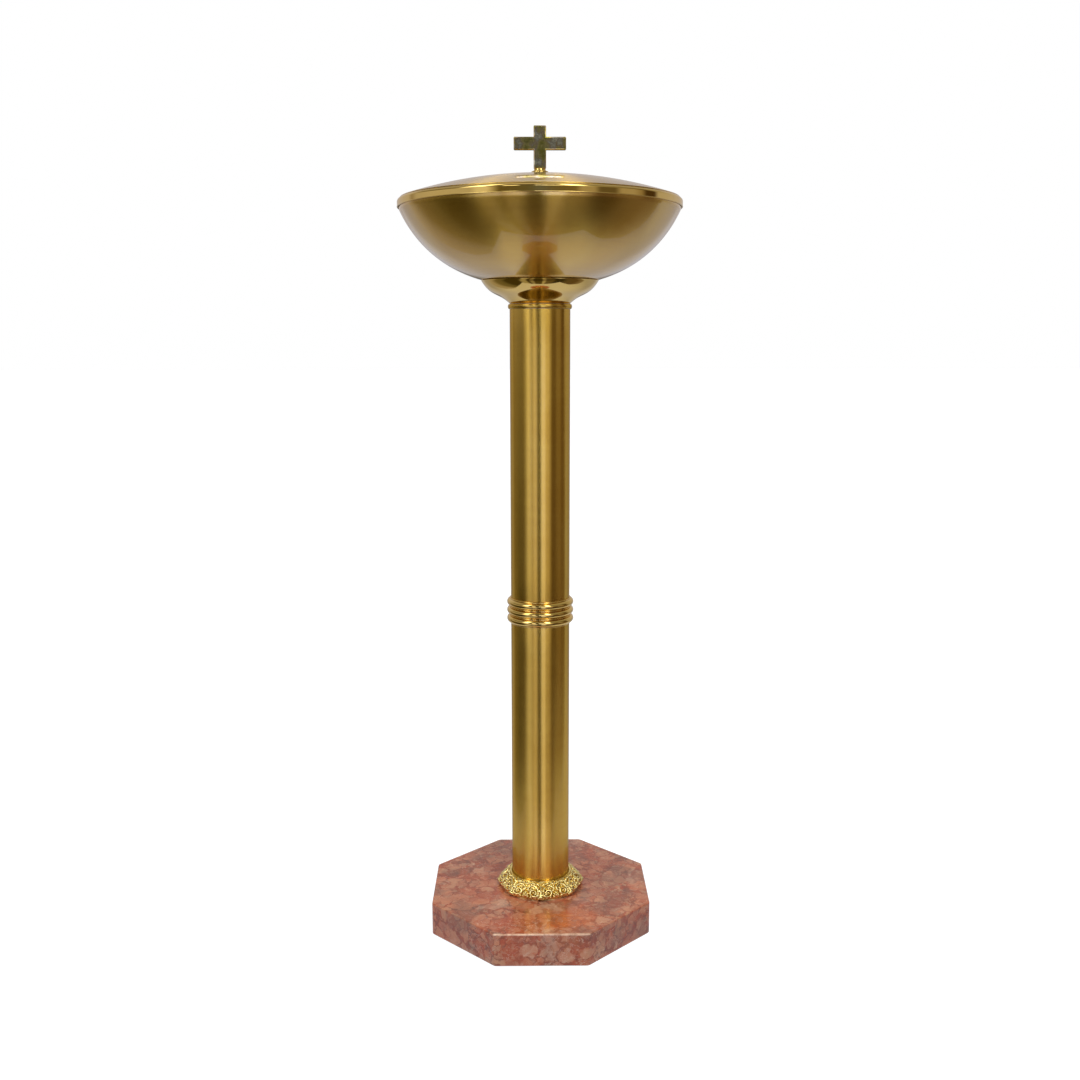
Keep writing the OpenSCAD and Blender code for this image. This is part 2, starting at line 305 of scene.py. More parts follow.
def spun_metal(name, tints, rough, anisotropic, sign, lines, coat=0.0, edge=None):
    """Metal brushed or polished round the axis: fine rings in bump, roughness and tint,
    with faint handling marks over them. lines is how deep the rings are, edge the tint of
    light that glances off."""
    mat, n, shader = material(name)
    rings = across_axis(n, sign)
    fine = n.noise(rings, RING_SCALE, detail=3.0, roughness=0.65)
    broad = n.noise(rings, RING_SCALE / 14)
    marks = n.noise(n.place(), 16, detail=4.0, roughness=0.6, distortion=0.6)
    tint = n.plus(n.times(fine, 0.4), n.times(marks, 0.6))
    n.put(n.ramp(tint, [(0.3, tints[0]), (0.72, tints[1])]), shader.inputs["Base Color"])
    vary = n.plus(n.times(broad, 0.5), n.times(marks, 0.5))
    n.put(n.span(vary, 0.3, 0.7, rough * 0.93, rough * 1.07), shader.inputs["Roughness"])
    shader.inputs["Metallic"].default_value = 1.0
    shader.inputs["Anisotropic"].default_value = anisotropic
    if anisotropic:
        shader.inputs["Anisotropic Rotation"].default_value = 0.25
        tangent = n.add("ShaderNodeTangent", direction_type="RADIAL", axis="Z")
        n.put(tangent.outputs[0], shader.inputs["Tangent"])
    if coat:
        shader.inputs["Coat Weight"].default_value = coat
        shader.inputs["Coat Roughness"].default_value = 0.04
        shader.inputs["Coat IOR"].default_value = 1.55
    if edge:
        shader.inputs["Specular Tint"].default_value = edge
    height, deep = n.plus(fine, n.times(broad, 0.4)), 0.000012
    n.put(n.bump(height, deep * lines), shader.inputs["Normal"])
    return mat


SATIN = lin(218, 175, 72), lin(234, 196, 94)
POLISHED = lin(224, 189, 100), lin(238, 207, 128)
STEEL = lin(182, 180, 172), lin(202, 200, 191)
ALUMINIUM = lin(190, 192, 195), lin(214, 215, 216)
EDGE_TINT = 0.6, 0.54, 0.42, 1

satin_column = spun_metal("satin_brass_column", SATIN, rough=0.25, anisotropic=0.93,
                          sign=0, lines=0.7, coat=0.2, edge=EDGE_TINT)
satin_bowl = spun_metal("satin_brass_bowl", SATIN, rough=0.25, anisotropic=1.0,
                        sign=1, lines=0.5, coat=1.0)
satin_dome = spun_metal("satin_brass_dome", SATIN, rough=0.42, anisotropic=1.0,
                        sign=-1, lines=0.7, coat=1.0)
polished = spun_metal("polished_brass_turned", POLISHED, rough=0.07, anisotropic=0.0,
                      sign=1, lines=0.25)
basin_steel = spun_metal("basin_steel_spun", STEEL, rough=0.31, anisotropic=0.6,
                         sign=1, lines=1.2)
turned_alu = spun_metal("aluminium_turned", ALUMINIUM, rough=0.3, anisotropic=0.5,
                        sign=1, lines=2.0)


def handled_brass():
    """Polished brass with the cloudy marks of hands on it."""
    mat, n, shader = material("polished_brass_handled")
    place = n.place()
    cloud = n.noise(place, 150, detail=5.0, roughness=0.7, distortion=0.8)
    fine = n.noise(place, 620, detail=3.0, roughness=0.6)
    tints = n.noise(place, 70, detail=4.0, roughness=0.6, distortion=0.4)
    patches = n.ramp(tints, [
        (0.36, lin(178, 166, 70)), (0.45, lin(222, 202, 120)), (0.52, lin(208, 180, 138)),
        (0.58, lin(216, 206, 176)), (0.66, lin(250, 238, 196))])
    dull = n.span(cloud, 0.4, 0.62, smooth=True)
    n.put(n.mix(n.times(dull, 0.4), patches, lin(122, 118, 100)),
          shader.inputs["Base Color"])
    n.put(n.span(cloud, 0.35, 0.68, 0.05, 0.2), shader.inputs["Roughness"])
    shader.inputs["Metallic"].default_value = 1.0
    n.put(n.bump(n.plus(cloud, n.times(fine, 0.3)), 0.00004), shader.inputs["Normal"])
    return mat


def plated():
    """Zinc plated steel, a little cloudy."""
    mat, n, shader = material("zinc_plated_steel")
    marks = n.noise(n.place(), 90, detail=4.0, roughness=0.6, distortion=0.4)
    n.put(n.ramp(marks, [(0.35, lin(170, 172, 168)), (0.7, lin(196, 196, 188))]),
          shader.inputs["Base Color"])
    n.put(n.span(marks, 0.3, 0.7, 0.29, 0.42), shader.inputs["Roughness"])
    shader.inputs["Metallic"].default_value = 1.0
    n.put(n.bump(n.noise(n.place(), 900, detail=3.0), 0.00002), shader.inputs["Normal"])
    return mat


def gilt():
    """Cast and gilded, with painted shade: darker in the ground of the relief and brighter
    on its high points.
    """
    mat, n, shader = material("cast_gilt_relief")
    geometry = n.add("ShaderNodeNewGeometry")
    # painted shade: by how far a place stands out, dark in the hollows and bright on the
    # ridges
    relief_shade = n.span(geometry.outputs["Pointiness"], 0.43, 0.53, smooth=True)
    marks = n.noise(n.place(), 260, detail=4.0, roughness=0.65)
    grain = n.noise(n.place(), 1400, detail=3.0, roughness=0.6)
    colour = n.ramp(relief_shade, [
        (0.0, lin(96, 60, 4)), (0.42, lin(232, 192, 74)), (1.0, lin(255, 242, 176))])
    n.put(n.mix(n.span(marks, 0.35, 0.7, 0.0, 0.35), colour, lin(220, 172, 56)),
          shader.inputs["Base Color"])
    n.put(n.span(marks, 0.3, 0.7, 0.08, 0.16), shader.inputs["Roughness"])
    shader.inputs["Metallic"].default_value = 1.0
    n.put(n.bump(grain, 0.00006), shader.inputs["Normal"])
    return mat


# ---------------------------------------------------------------- rubber and marble

LUMP_SCALE, PEBBLE_SCALE = 58, 125


def rubber(name, shade):
    """Dull black rubber with a fine grain."""
    mat, n, shader = material(name)
    marks = n.noise(n.place(), 140, detail=4.0, roughness=0.6)
    n.put(n.ramp(marks, [(0.3, lin(shade, shade, shade)),
                         (0.75, lin(shade + 22, shade + 21, shade + 20))]),
          shader.inputs["Base Color"])
    n.put(n.span(marks, 0.3, 0.7, 0.62, 0.85), shader.inputs["Roughness"])
    n.put(n.bump(n.noise(n.place(), 1500), 0.00005), shader.inputs["Normal"])
    return mat


def warped(n, place, vector, scale, by):
    """The vector pushed about by a noise, so that what is drawn on it wanders."""
    shift = n.noise(place, scale, detail=3.0, roughness=0.6, out="Color")
    shift = n.vec("SUBTRACT", shift, (0.5, 0.5, 0.5))
    return n.vec("ADD", vector, n.vec("SCALE", shift, scale=by))


def marble_lumps(n, at, scale, share, soft):
    """How far inside a lump a point is, and that lump's own random number; share is the
    part of the cells that hold no lump."""
    near = n.voronoi(at, scale)
    own = n.add("ShaderNodeSeparateColor")
    n.put(n.voronoi(at, scale, out="Color"), own.inputs[0])
    pick, presence, girth = own.outputs
    size = n.span(girth, 0.0, 1.0, 0.5, 0.8)
    inside = n.span(n.minus(size, near), 0.0, soft, smooth=True)
    return n.times(inside, n.span(presence, share, share + 0.05)), pick


def marble_ground(n, at, clouds):
    """The red and purplish ground, with pale lumps of two sizes in it."""
    figure = n.noise(at, 44, detail=4.0, roughness=0.62, distortion=0.7)
    ground = n.ramp(figure, [
        (0.30, lin(116, 76, 70)), (0.42, lin(146, 82, 66)), (0.52, lin(174, 84, 62)),
        (0.62, lin(182, 106, 78)), (0.72, lin(142, 94, 84))])
    ground = n.mix(n.span(clouds, 0.42, 0.62, 0.0, 0.45), ground, lin(182, 120, 92))

    pebble, pick = marble_lumps(n, at, PEBBLE_SCALE, share=0.38, soft=0.2)
    pebble_colour = n.ramp(pick, [
        (0.1, lin(176, 94, 72)), (0.5, lin(192, 126, 102)), (0.9, lin(190, 154, 134))])
    stone = n.mix(n.times(pebble, 0.75), ground, pebble_colour)

    lump, pick = marble_lumps(n, at, LUMP_SCALE, share=0.1, soft=0.14)
    tone = n.plus(n.times(pick, 0.6), n.times(clouds, 0.4))
    lump_colour = n.ramp(tone, [
        (0.15, lin(178, 98, 76)), (0.32, lin(202, 146, 120)), (0.46, lin(172, 112, 96)),
        (0.58, lin(202, 160, 136)), (0.7, lin(196, 124, 98)), (0.86, lin(208, 178, 160))])
    return n.mix(n.times(lump, 0.8), stone, lump_colour)


def marble_seams(n, place, at):
    """The seams where two lumps meet, which come and go, and their dark colours."""
    edge = n.voronoi(at, LUMP_SCALE, "DISTANCE_TO_EDGE")
    width = n.span(n.noise(place, 52, detail=3.0), 0.4, 0.66, 0.0, 0.15)
    seam = n.span(edge, 0.0, n.plus(width, 0.001), 1.0, 0.0, smooth=True)
    colour = n.ramp(n.noise(place, 30, detail=3.0, roughness=0.6), [
        (0.38, lin(138, 56, 42)), (0.52, lin(112, 64, 56)), (0.64, lin(92, 70, 72))])
    return seam, colour


def marble_regions(n, place, at, clouds, stone):
    """Greyer and redder regions, and a painted reflection of the gold collar on the front of
    the top.
    """
    region = n.noise(place, 15, detail=3.0, roughness=0.55, distortion=0.6)
    greyer = n.span(region, 0.5, 0.62, 0.0, 0.45, smooth=True)
    redder = n.span(region, 0.46, 0.36, 0.0, 0.45, smooth=True)
    stone = n.mix(greyer, stone, lin(120, 92, 88))
    stone = n.mix(redder, stone, lin(178, 92, 66))
    # painted reflection: an orange patch on the top, just in front of the collar
    collar_reflection = n.vec("LENGTH", n.vec("SUBTRACT", at, (0.035, -0.112, 0.045)))
    collar_reflection = n.times(n.span(collar_reflection, 0.008, 0.058, 0.7, 0.0, smooth=True),
                   n.span(clouds, 0.38, 0.6, 0.3, 1.0))
    return n.mix(collar_reflection, stone, lin(206, 116, 48))


def marble_lines(n, at, stone):
    """Thin pale lines everywhere, and pale level streaks near the front."""
    line = n.noise(at, 22, detail=4.0, roughness=0.55, distortion=1.6)
    line = n.span(n.away(line, 0.5), 0.0, 0.005, 0.5, 0.0)
    stone = n.mix(line, stone, lin(214, 188, 168))
    x, y, z = n.split(at)
    streak = n.noise(n.join(n.times(x, 0.3), y, z), 75, detail=3.0, distortion=0.4)
    streak = n.span(n.away(streak, 0.5), 0.0, 0.014, 0.6, 0.0)
    near_front = n.span(y, -0.085, -0.125, smooth=True)
    return n.mix(n.times(streak, near_front), stone, lin(216, 190, 182))


def marble_edge_highlight(n, place, clouds, stone):
    """A painted highlight: the upper edge of the front made pale, where its bevel catches
    the light.
    """
    _, y, z = n.split(place)
    # painted highlight: a thin pale strip along the front top edge, patchy with the clouds
    edge_highlight = n.times(n.span(y, -0.1474, -0.1486), n.span(z, 0.0446, 0.0458))
    edge_highlight = n.times(edge_highlight, n.span(clouds, 0.36, 0.58, 0.25, 0.85))
    return n.mix(edge_highlight, stone, lin(244, 224, 212))


def marble_specks(n, place, at, clouds, stone):
    """Red specks, and paler patches over everything."""
    speck = n.noise(place, 520, roughness=0.6)
    stone = n.mix(n.span(speck, 0.6, 0.74, 0.0, 0.45), stone, lin(128, 58, 44))
    pale = n.noise(at, 26, detail=3.0, roughness=0.55, distortion=0.8)
    pale = n.times(n.span(pale, 0.56, 0.7, 0.0, 0.55, smooth=True),
                   n.span(clouds, 0.35, 0.6, 0.4, 1.0))
    return n.mix(pale, stone, lin(206, 176, 164))


def marble():
    """Rose-red nodular limestone: pale lumps of two sizes in a red and purplish ground,
    with wavy seams between them."""
    mat, n, shader = material("rose_marble_polished")
    place = n.place()
    at = warped(n, place, place, 36, 0.026)
    at = warped(n, place, at, 130, 0.009)
    clouds = n.noise(place, 95, detail=5.0, roughness=0.65, distortion=0.9)
    stone = marble_ground(n, at, clouds)
    seam, seam_colour = marble_seams(n, place, at)
    stone = n.mix(n.times(seam, 0.62), stone, seam_colour)
    # greyer and redder regions, and a painted reflection of the collar
    stone = marble_regions(n, place, at, clouds, stone)
    stone = marble_lines(n, at, stone)
    # a painted highlight along the front top edge
    stone = marble_edge_highlight(n, place, clouds, stone)
    stone = marble_specks(n, place, at, clouds, stone)
    stone = n.mix(1.0, stone, (0.96, 0.84, 0.7, 1.0), "MULTIPLY")
    n.put(stone, shader.inputs["Base Color"])
    n.put(n.span(clouds, 0.3, 0.7, 0.18, 0.3), shader.inputs["Roughness"])
    shader.inputs["Coat Weight"].default_value = 0.35
    shader.inputs["Coat Roughness"].default_value = 0.12
    shader.inputs["Specular IOR Level"].default_value = 0.3
    height = n.plus(n.times(seam, -0.6), n.noise(place, 300, detail=3.0))
    n.put(n.bump(height, 0.00004), shader.inputs["Normal"])
    return mat


zinc, cast_gilt, cross_brass = plated(), gilt(), handled_brass()
pad_rubber, seal_rubber = rubber("pad_rubber_dark", 34), rubber("seal_black", 24)
rose_marble = marble()


def piece(obj, body, nodes, mat):
    """Gives a modelled piece its material and its body, and hides the CAD nodes it stands
    for."""
    obj.data.materials.append(mat)
    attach(obj, body)
    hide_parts(*nodes)


# ---------------------------------------------------------------- marble base

ROD_HOLE, STUD_HOLE = 6.5, 2.7
SIDE = math.pi / 4


def octagon(t, apothem, soften, corner=SIDE / 2):
    """How far an octagon reaches at an angle, with its corners rounded a little; corner is
    the angle of one of them."""
    side = (t - corner) % SIDE - SIDE / 2
    r = apothem / math.cos(side)
    limit = apothem / math.cos(SIDE / 2) - soften
    # a soft minimum of the two
    return -math.log(math.exp(-r / soften * 2) + math.exp(-limit / soften * 2)) * soften / 2


def make_slab():
    bottom, top, flat_r = low("marble_base"), high("marble_base"), reach("marble_base")
    bevel, rounding, round_r = 1.6, 0.45, 70
    recess_top, recess_r, chamfer = bottom + 22, 30, 0.6
    bevel_r = flat_r - bevel
    outline = [(ROD_HOLE, top), (round_r, top), (bevel_r, top)]
    outline += arc(bevel_r, top - bevel, bevel, 78, 12, 5)
    outline += [(flat_r, top - bevel), (flat_r, bottom + bevel)]
    outline += arc(bevel_r, bottom + bevel, bevel, -12, -78, 5)
    outline += [(bevel_r, bottom), (round_r, bottom), (recess_r + chamfer, bottom),
                (recess_r, bottom + chamfer), (recess_r, recess_top), (ROD_HOLE, recess_top)]

    def shape(t, i):
        """Round as far as round_r, an octagon beyond it."""
        r = outline[i][0]
        if r <= round_r:
            return 1
        return (octagon(t, flat_r, rounding) - (flat_r - r)) / r

    slab = lathe("marble_slab", outline, segments=384, shape=shape, degrees=30)
    piece(slab, "stand", ["marble_base"], rose_marble)


make_slab()

# ---------------------------------------------------------------- foot collar

COLLAR_CORNER, COLLAR_TOP_R, COLLAR_BORE = 64.0, 43.4, 40.3
HALF_FACET, SLOPE = 21.0, 25.0


def curve(points, count=60):
    """Points evenly along a smooth curve through the given points."""
    p = np.array(points, float)
    ext = np.vstack([2 * p[0] - p[1], p, 2 * p[-1] - p[-2]])
    out = []
    for i in range(1, len(ext) - 2):
        t = np.linspace(0, 1, count, endpoint=False)[:, None]
        a, b, c, d = ext[i - 1:i + 3]
        out.append(0.5 * (2 * b + (c - a) * t + (2 * a - 5 * b + 4 * c - d) * t ** 2
                          + (3 * b - a - 3 * c + d) * t ** 3))
    return np.vstack(out + [p[-1:]])


def volute(cx, cy, r, start, turns, shrink, way):
    """A path that winds inward from r; way is 1 or -1."""
    t = np.linspace(0, turns * 2 * math.pi, 90)
    k = r * np.exp(-shrink * t / 2)
    return np.c_[cx + k * np.cos(start + way * t), cy + k * np.sin(start + way * t)]


def cord(x, y, path, wide, tall, taper):
    """A half-round cord along a path on the facet, as heights."""
    d = np.hypot(x[..., None] - path[:, 0], y[..., None] - path[:, 1])
    near = d.argmin(-1)
    w = wide * (1 - taper * near / len(path))
    k = np.clip(1 - (d.min(-1) / w) ** 2, 0, None)
    return tall * (w / wide) * np.sqrt(k)


def drop(x, y, cx, cy, rx, ry, tall, lean=0.0):
    """A rounded lump on the facet, as heights."""
    c, s = math.cos(lean), math.sin(lean)
    u, v = (x - cx) * c + (y - cy) * s, -(x - cx) * s + (y - cy) * c
    return tall * np.sqrt(np.clip(1 - (u / rx) ** 2 - (v / ry) ** 2, 0, None))


def stippling(x, y):
    """Small lumps scattered over the ground."""
    rng = np.random.default_rng(7)
    size = 1.1
    out = []
    for _ in range(70):
        cx, cy = rng.uniform(0, HALF_FACET), rng.uniform(2, SLOPE - 1)
        out.append(drop(x, y, cx, cy, size, size, size))
    return out


def scrolls(x, y):
    """A large volute low on the facet, whose stem swings up to a small one."""
    eye = 11.2, 8.8
    big = volute(*eye, r=6.6, start=-0.4, turns=1.1, shrink=0.24, way=-1)
    stem = curve([(17.4, 11.4), (15.6, 16.4), (11.0, 19.4), (6.4, 19.0), (3.6, 16.4)])
    small = volute(5.4, 13.6, r=3.5, start=2.3, turns=0.8, shrink=0.3, way=1)
    return [cord(x, y, big, wide=2.0, tall=4.6, taper=0.3),
            cord(x, y, stem, wide=1.9, tall=4.0, taper=0.3),
            cord(x, y, small, wide=1.7, tall=3.9, taper=0.3),
            drop(x, y, *eye, rx=2.3, ry=2.3, tall=4.8)]


def shell(x, y):
    """A shell low in the middle of the facet: ribs fanned round a boss."""
    foot = 3.2
    out = [drop(x, y, 0.0, foot, rx=2.3, ry=2.3, tall=4.8)]
    for lean, length in ((0.0, 8.0), (0.75, 6.6), (1.4, 5.2)):
        half = length / 2
        out.append(drop(x, y, math.sin(lean) * half, foot + math.cos(lean) * half,
                        rx=half, ry=1.7, tall=4.2, lean=math.pi / 2 - lean))
    return out


def leaves(x, y):
    """Leaves above the scrolls, and one beside them, each with a drop's own numbers."""
    return [drop(x, y, *leaf) for leaf in (
        (2.4, 22.0, 3.4, 1.8, 3.2, 0.7), (9.4, 22.6, 3.6, 1.7, 3.2, 0.1),
        (16.0, 22.0, 3.4, 1.8, 3.2, -0.6), (17.6, 6.0, 2.8, 1.7, 3.4, 1.0))]


def corner_leaf(x, y):
    """Half of the acanthus leaf that runs up each corner."""
    rib = curve([(HALF_FACET, 2.0), (HALF_FACET, 11.0), (HALF_FACET, 21.0)])
    out = [cord(x, y, rib, wide=1.9, tall=4.6, taper=0.4),
           drop(x, y, HALF_FACET, 2.8, rx=3.8, ry=3.2, tall=5.0)]
    for base, tip in ((5.0, 10.8), (11.6, 17.4)):
        side = curve([(HALF_FACET - 0.4, base), (HALF_FACET - 3.0, base + 3.0),
                      (HALF_FACET - 4.2, tip)], count=30)
        out.append(cord(x, y, side, wide=1.9, tall=4.0, taper=0.35))
    return out


def beading(x, y):
    """Beads along the lower edge."""
    first, pitch = 2.6, 5.2
    return [drop(x, y, first + pitch * k, 1.8, rx=2.5, ry=2.3, tall=3.4)
            for k in range(4)]


def relief(x, y):
    """The casting's relief in mm at x across half a facet (0 its middle, HALF_FACET its
    corner) and y up its slope."""
    return np.maximum.reduce(stippling(x, y) + scrolls(x, y) + shell(x, y) + leaves(x, y)
                             + corner_leaf(x, y) + beading(x, y))


def make_collar():
    bottom, top = low("foot_collar"), high("foot_collar")
    half, rows = 56, 88
    inset, foot_r, foot_h, crown_r = 3.6, 55.0, 1.5, COLLAR_TOP_R - 0.6
    swell, out, lift, fade = 1.6, 0.7, 0.52, 0.35
    # half a facet, mirrored, so that the field starts at a corner
    up = np.linspace(0, 1, rows)
    field = relief(*np.meshgrid(np.linspace(0, HALF_FACET, half + 1), up * SLOPE))
    facet = np.hstack([field[:, ::-1][:, :-1], field[:, :-1]])
    heights = np.hstack([facet] * 8)
    count = heights.shape[1]
    turns = np.arange(count) * 2 * math.pi / count
    octa = np.array([octagon(t, COLLAR_CORNER * math.cos(SIDE / 2), 1.5, 0.0)
                     for t in turns]) - inset
    verts, loops = [], []

    def ring(r, z):
        loops.append(range(len(verts), len(verts) + count))
        for rk, zk, t in zip(np.broadcast_to(r, count), np.broadcast_to(z, count), turns):
            verts.append((rk * math.cos(t), rk * math.sin(t), zk))

    ring(COLLAR_BORE, bottom)
    ring(foot_r, bottom)
    ring(foot_r, bottom + foot_h)
    ring(octa, bottom + foot_h)
    # the slope swells a little; its relief stands out and up, and is lower at the top
    for v, raised in zip(up, heights):
        blend = v ** 1.12
        base = (1 - blend) * octa + blend * crown_r + swell * math.sin(math.pi * v)
        z = bottom + 2.3 + (top - bottom - 3.3) * v ** 0.93
        h = raised * (1 - fade * v)
        ring(base + h * out, np.minimum(z + h * lift, top))
    ring(crown_r, top - 0.2)
    ring(COLLAR_BORE + 0.8, top)
    ring(COLLAR_BORE, top - 0.8)
    faces = []
    for a, b in zip(loops, loops[1:] + loops[:1]):
        for k in range(count):
            m = (k + 1) % count
            faces.append((a[k], a[m], b[m], b[k]))
    collar = add("collar_relief", verts, faces, degrees=70)
    piece(collar, "stand", ["foot_collar"], cast_gilt)


make_collar()

# ---------------------------------------------------------------- column

WALL = 1.5
tube_r = reach("lower_tube")


def make_tube(name, node):
    bottom, top = low(node), high(node)
    soft = 0.3
    bore, end_r = tube_r - WALL, tube_r - soft
    # rings up the side keep its shading straight
    levels = [bottom + (top - bottom) * k / 12 for k in range(1, 12)]
    outline = [(bore, bottom), (end_r, bottom)]
    outline += arc(end_r, bottom + soft, soft, -75, -15, 4)
    outline += [(tube_r, z) for z in [bottom + soft] + levels + [top - soft]]
    outline += arc(end_r, top - soft, soft, 15, 75, 4)
    outline += [(end_r, top), (bore, top)]
    piece(lathe(name, outline), "stand", [node], satin_column)


make_tube("column_lower", "lower_tube")
make_tube("column_upper", "upper_tube")


def make_knop():
    bottom, top, knop_r = low("knop"), high("knop"), reach("knop")
    mid = (bottom + top) / 2
    pitch, ring_r, gap, bead = 11.5, 4.75, 0.25, 0.72
    bore, lip_r, lip, groove_r = tube_r - WALL, tube_r + 1.5, 0.9, knop_r - 3.4
    outline = [(bore, bottom), (lip_r - 0.6, bottom)]
    outline += arc(lip_r - lip, bottom + lip, lip, -60, 60, 6)
    for k in (-1, 0, 1):
        z = mid + k * pitch
        outline += [(groove_r - 0.4, z - ring_r - gap)]
        outline += arc(knop_r - ring_r, z, ring_r, -78, 78, 18)
        outline += [(groove_r - 0.4, z + ring_r + gap)]
        if k < 1:
            outline += arc(groove_r + 0.2, z + pitch / 2, bead, -80, 80, 6)
    outline += arc(lip_r - lip, top - lip, lip, -60, 60, 6)
    outline += [(lip_r - 0.6, top), (bore, top)]
    piece(lathe("knop_rings", outline), "stand", ["knop"], polished)


def make_neck():
    bottom, top, r = low("neck_ring"), high("neck_ring"), reach("neck_ring")
    mid, half = (bottom + top) / 2, (top - bottom) / 2 - 0.1
    bore, crown = tube_r + 0.05, 1.3
    turns = [math.radians(t) for t in range(-80, 81, 10)]
    outline = [(bore, bottom), (r - crown, bottom)]
    outline += [(r - crown + crown * math.cos(t), mid + half * math.sin(t)) for t in turns]
    outline += [(r - crown, top), (bore, top)]
    bead = lathe("neck_bead", outline)
    piece(bead, "stand", ["neck_ring"], satin_column)


make_knop()
make_neck()

# ---------------------------------------------------------------- bracket


def bezier(points, t):
    """A point along the curve that four points steer."""
    a, b, c, d = points
    return ((1 - t) ** 3 * a + 3 * (1 - t) ** 2 * t * b + 3 * (1 - t) * t * t * c
            + t ** 3 * d)


def bezier_side(points, t):
    """The direction to the left of that curve."""
    a, b, c, d = points
    way = (1 - t) ** 2 * (b - a) + 2 * (1 - t) * t * (c - b) + t * t * (d - c)
    way /= np.linalg.norm(way)
    return np.array([-way[1], way[0]])


def make_bracket():
    bottom, top, rim = low("bracket_cup"), high("bracket_cup"), reach("bracket_cup")
    wall, soft = 2, 0.35
    lower, upper = np.array([tube_r - 0.7, bottom]), np.array([rim, top])
    ogee = [lower, lower + [14.2, 14.8], upper - [12.3, 21.3], upper]
    steps = [k / 48 for k in range(49)]
    outer = [bezier(ogee, t) for t in steps]
    inner = [bezier(ogee, t) + wall * bezier_side(ogee, t) for t in steps]
    outline = [(ROD_HOLE, bottom)] + [tuple(p) for p in outer[:-1]]
    outline += [(rim, top - soft), (rim - soft, top)]
    outline += [tuple(p) for p in inner[::-1] if p[1] < top - 0.01]
    outline += [(inner[0][0] - 2, bottom + wall), (ROD_HOLE, bottom + wall)]
    cup = lathe("bracket_ogee", outline)
    piece(cup, "stand", ["bracket_cup"], polished)


make_bracket()

# ---------------------------------------------------------------- bowl and basin

POWER = 2.4


def make_bowl():
    flat_z, top, rim_r = low("bowl"), high("bowl"), reach("bowl")
    half_w, half_h, flat_r, soft = 201.0, 202.2, 45.0, 0.4
    mid_z = flat_z + superellipse_width(half_h, half_w, POWER, flat_r)
    outer = superellipse(half_w, half_h, POWER, mid_z, rim_r, flat_r)
    edge_z = outer[0][1]
    a, b = half_w - WALL, half_h - WALL
    inner_r = superellipse_width(a, b, POWER, mid_z - edge_z)
    floor_r = superellipse_width(a, b, POWER, mid_z - flat_z - WALL)
    inner = superellipse(a, b, POWER, mid_z, inner_r, floor_r)
    outline = [(rim_r - soft, top)] + arc(rim_r - soft, top - soft, soft, 75, 15, 3)
    outline += [(rim_r, top - soft)] + outer
    outline += [(ROD_HOLE, flat_z), (ROD_HOLE, flat_z + WALL)] + inner[::-1]
    outline += [(inner_r, top - soft), (inner_r + soft, top)]
    piece(lathe("bowl_spun", outline), "stand", ["bowl"], satin_bowl)


def make_basin():
    bottom, top, flange_r = low("inner_basin"), high("inner_basin"), reach("inner_basin")
    wall, mouth_r, flat_r, lip, soft = 1.2, 172.0, 50.0, 2.1, 0.4
    depth = (top - bottom) / superellipse_width(1, mouth_r, POWER, flat_r)
    outer = superellipse(mouth_r, depth, POWER, top, mouth_r, flat_r)
    inner = superellipse(mouth_r - wall, depth - wall, POWER, top, mouth_r - wall, flat_r)
    outline = [(0, outer[-1][1])] + [p for p in outer[::-1] if p[1] < top - wall - 0.2]
    outline += [(mouth_r + 0.2, top - wall), (flange_r - soft, top - wall),
                (flange_r, top - wall + soft), (flange_r, top - soft),
                (flange_r - soft, top)]
    outline += arc(mouth_r + 0.9, top - lip, lip, 160, 96, 6)[::-1]
    outline += [p for p in inner if p[1] < top - 2.0] + [(0, inner[-1][1])]
    basin = lathe("basin_spun", outline)
    piece(basin, "basin", ["inner_basin"], basin_steel)


make_bowl()
make_basin()

# ---------------------------------------------------------------- lid


def make_rim():
    """The radius is a hair under the solid's, to stay inside the CAD box on every side."""
    bottom, top, r = low("lid_rim"), high("lid_rim"), reach("lid_rim") - 0.07
    ledge_r, ledge_z, skirt = 176.0, bottom + 5.4, 1.8
    bore, band, hem, crown = r - skirt, r - 0.25, 0.45, 3.5
    outline = [(bore, bottom + 0.3), (bore + 0.3, bottom)]
    outline += arc(r - hem, bottom + hem, hem, -85, 60, 8)
    # rings near both ends of the band keep its shading flat
    outline += [(band, z) for z in (bottom + 1.0, bottom + 1.2, bottom + 1.6)]
    outline += [(band, z) for z in (top - 4.0, top - 3.6)]
    outline += arc(band - crown, top - crown, crown, 2, 90, 14)
    outline += [(ledge_r + 0.4, top), (ledge_r, top - 0.4), (ledge_r, ledge_z + 0.4),
                (ledge_r + 0.4, ledge_z), (bore, ledge_z)]
    rim = lathe("lid_rim_band", outline)
    piece(rim, "lid", ["lid_rim"], polished)


def make_dome():
    bottom, top, r = low("lid_dome"), high("lid_dome"), reach("lid_dome")
    sphere, wall, roll, steps = 574.0, 1.2, 1.1, 48
    centre = top - sphere

    def cap(radius, first, last):
        out = []
        for k in range(steps + 1):
            x = first + (last - first) * k / steps
            out.append((x, centre + math.sqrt(radius ** 2 - x ** 2)))
        return out

    inner_r = math.sqrt((sphere - wall) ** 2 - (bottom - centre) ** 2)
    outer = cap(sphere, STUD_HOLE, r - roll)
    inner = cap(sphere - wall, inner_r, STUD_HOLE)
    edge = arc(r - roll, outer[-1][1] - roll, roll, 70, 0, 7)
    dome = lathe("lid_dome_spun", outer + edge + [(r, bottom)] + inner)
    piece(dome, "lid", ["lid_dome"], satin_dome)


